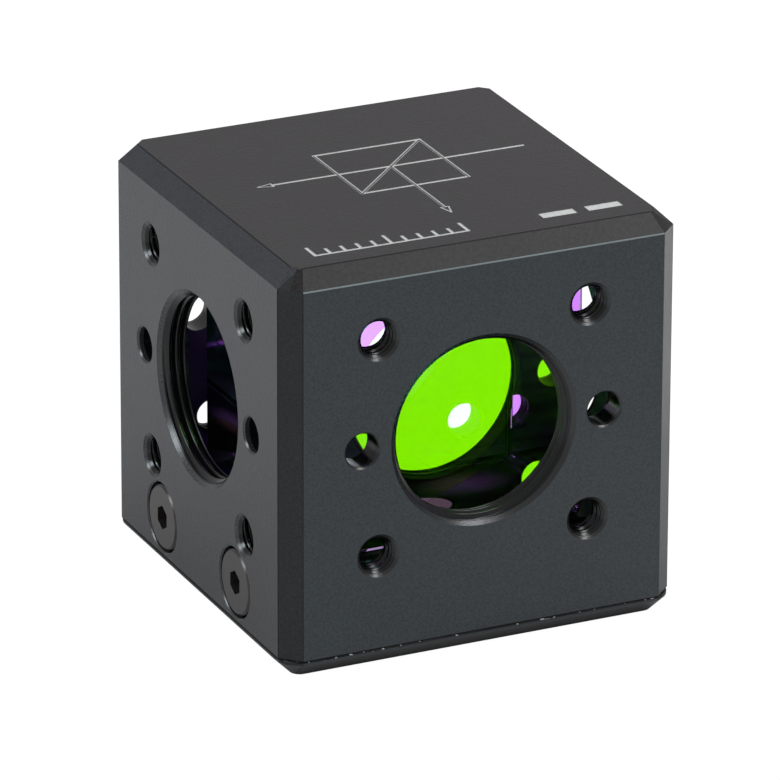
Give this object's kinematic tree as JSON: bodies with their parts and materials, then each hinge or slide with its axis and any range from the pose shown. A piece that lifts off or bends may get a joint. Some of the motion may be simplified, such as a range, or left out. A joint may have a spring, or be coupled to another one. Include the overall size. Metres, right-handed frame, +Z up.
{
  "type": "beamsplitter cube",
  "caption": "Square cage-cube housing with a threaded port and rod holes on each side, holding a glass beamsplitter cube above a screwed bottom cover.",
  "frame": {"origin": "middle of the underside, on the surface the cube stands on", "axes": "+Z up; the front port looks along -Y and the right port along +X"},
  "size_m": [0.03, 0.03, 0.03],
  "materials": {
    "housing": "matt black anodised, blasted",
    "cover": "matt black anodised",
    "glass": "polished, with a coating that mirrors green and passes violet",
    "coating": "half-mirror coating in optical cement",
    "adhesive": "cured adhesive",
    "screw": "dark steel, faintly glossy"
  },
  "bodies": {
    "root": {"housing": "housing", "base_cover": "cover", "prism_front": "glass", "prism_rear": "glass", "cement_layer": "coating", "glass_bond": "adhesive", "screw_left_front": "screw", "screw_left_rear": "screw", "screw_right_front": "screw", "screw_right_rear": "screw"}
  },
  "joints": []
}
